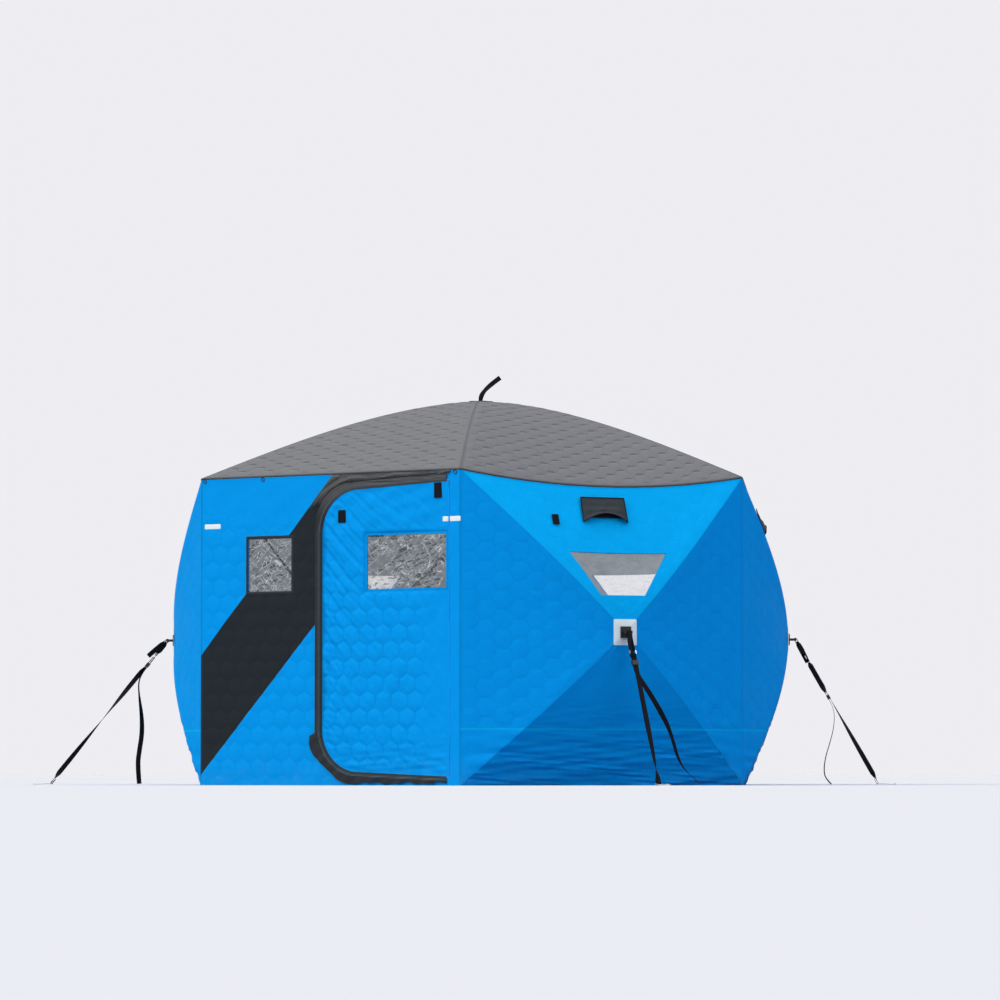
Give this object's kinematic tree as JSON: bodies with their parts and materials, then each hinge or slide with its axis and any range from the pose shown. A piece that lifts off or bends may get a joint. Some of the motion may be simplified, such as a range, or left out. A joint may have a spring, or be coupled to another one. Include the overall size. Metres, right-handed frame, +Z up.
{
  "type": "pop-up ice fishing hut",
  "caption": "Pop-up fabric ice fishing hut on bowed poles, with a swing door wall, hub walls with windows and vents, a domed roof and guy straps.",
  "frame": {"origin": "middle of the door wall's foot, on the ice and in the middle of its cloth", "axes": "+Z up, -Y out through the door wall, +X to the right of someone facing the door"},
  "size_m": [3.9553, 3.6062, 2.1575],
  "materials": {
    "blue_quilt": "quilted coated polyester",
    "blue_skirt": "coated polyester",
    "grey_quilt": "quilted coated polyester",
    "charcoal_cloth": "coated polyester",
    "clear_vinyl": "crinkled clear vinyl",
    "black_webbing": "woven webbing",
    "black_plastic": "moulded",
    "fibreglass": "pultruded rod",
    "steel": "bright wire",
    "reflective_tape": "reflective tape",
    "hub_patch": "heavy coated cloth"
  },
  "bodies": {
    "hut": {"door_header": "grey_quilt", "door_jamb": "blue_quilt", "door_sill": "blue_skirt", "door_wall_left": "blue_quilt", "door_wall_lower": "blue_skirt", "door_wall_stripe": "charcoal_cloth", "eave_boots": "black_plastic", "eave_rings": "black_plastic", "foot_boots": "black_plastic", "guy_straps": "black_webbing", "hub_patches": "hub_patch", "hub_plates": "black_plastic", "ice_anchors": "steel", "pull_loops": "black_webbing", "reflectors": "reflective_tape", "roof_cap": "grey_quilt", "roof_hub": "black_plastic", "roof_panel_front": "grey_quilt", "roof_panel_front_left": "grey_quilt", "roof_panel_front_right": "grey_quilt", "roof_panel_rear": "grey_quilt", "roof_panel_rear_left": "grey_quilt", "roof_panel_rear_right": "grey_quilt", "roof_poles": "fibreglass", "roof_pull_strap": "black_webbing", "side_window": "clear_vinyl", "side_window_border": "charcoal_cloth", "skirt_front_left": "blue_skirt", "skirt_front_right": "blue_skirt", "skirt_rear": "blue_skirt", "skirt_rear_left": "blue_skirt", "skirt_rear_right": "blue_skirt", "strap_rings": "steel", "strap_slides": "black_plastic", "strap_tail_front_left": "black_webbing", "strap_tail_front_right": "black_webbing", "strap_tail_rear": "black_webbing", "strap_tail_rear_left": "black_webbing", "strap_tail_rear_right": "black_webbing", "vent_hoods": "charcoal_cloth", "wall_front_left": "blue_quilt", "wall_front_right": "blue_quilt", "wall_hubs": "black_plastic", "wall_poles": "fibreglass", "wall_rear": "blue_quilt", "wall_rear_left": "blue_quilt", "wall_rear_right": "blue_quilt", "wall_tabs": "black_webbing", "wall_windows": "clear_vinyl"},
    "door": {"door_panel": "blue_quilt", "door_window": "clear_vinyl", "door_storm_flap": "charcoal_cloth", "door_tabs": "black_webbing", "door_reflector": "reflective_tape"}
  },
  "joints": [
    {"name": "door_swing", "type": "hinge", "parent": "hut", "child": "door", "pos_m": [0.735, -0.004, 0.8], "axis": [0, 0, 1], "range_deg": [0, 120]}
  ]
}
